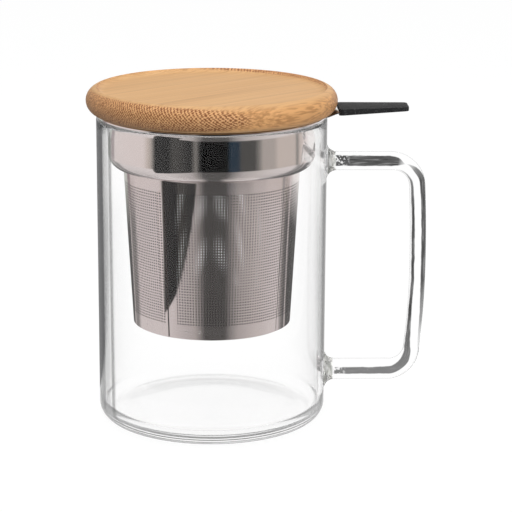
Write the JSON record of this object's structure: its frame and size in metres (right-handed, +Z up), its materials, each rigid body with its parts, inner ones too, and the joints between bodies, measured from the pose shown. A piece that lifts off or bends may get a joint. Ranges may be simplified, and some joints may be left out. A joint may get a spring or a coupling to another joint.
{
  "type": "lidded glass tea mug with infuser",
  "caption": "Clear glass tea mug with a rod handle, a lift-out perforated steel infuser with a black-gripped tab, and a loose round bamboo lid with a seal ring.",
  "frame": {"origin": "centre of the glass base's underside, on the table", "axes": "+Z up, +X towards the handle and the infuser's tab"},
  "size_m": [0.1264, 0.0924, 0.1253],
  "materials": {
    "clear_glass": "clear blown borosilicate glass with fire-polished edges",
    "polished_steel": "mirror-polished stainless sheet",
    "perforated_steel": "bright stainless sheet with fine etched holes",
    "black_silicone": "matt charcoal silicone with a fine speckle",
    "clear_silicone": "translucent white silicone",
    "bamboo": "oiled side-pressed bamboo with open end grain"
  },
  "bodies": {
    "mug": {"mug_body": "clear_glass", "mug_handle": "clear_glass"},
    "infuser": {"infuser_collar": "polished_steel", "infuser_wall": "perforated_steel", "infuser_base": "perforated_steel", "infuser_tab": "polished_steel", "grip_sleeve": "black_silicone"},
    "lid": {"lid_slat_01": "bamboo", "lid_slat_02": "bamboo", "lid_slat_03": "bamboo", "lid_slat_04": "bamboo", "lid_slat_05": "bamboo", "lid_slat_06": "bamboo", "lid_slat_07": "bamboo", "lid_slat_08": "bamboo", "lid_slat_09": "bamboo", "lid_slat_10": "bamboo", "lid_slat_11": "bamboo", "lid_slat_12": "bamboo", "lid_slat_13": "bamboo", "lid_slat_14": "bamboo", "lid_seal": "clear_silicone"}
  },
  "joints": [
    {"name": "infuser_lift", "type": "slide", "parent": "mug", "child": "infuser", "axis": [0, 0, 1], "range_m": [0, 0.1]},
    {"name": "lid_lift", "type": "slide", "parent": "infuser", "child": "lid", "axis": [0, 0, 1], "range_m": [0, 0.04]}
  ]
}
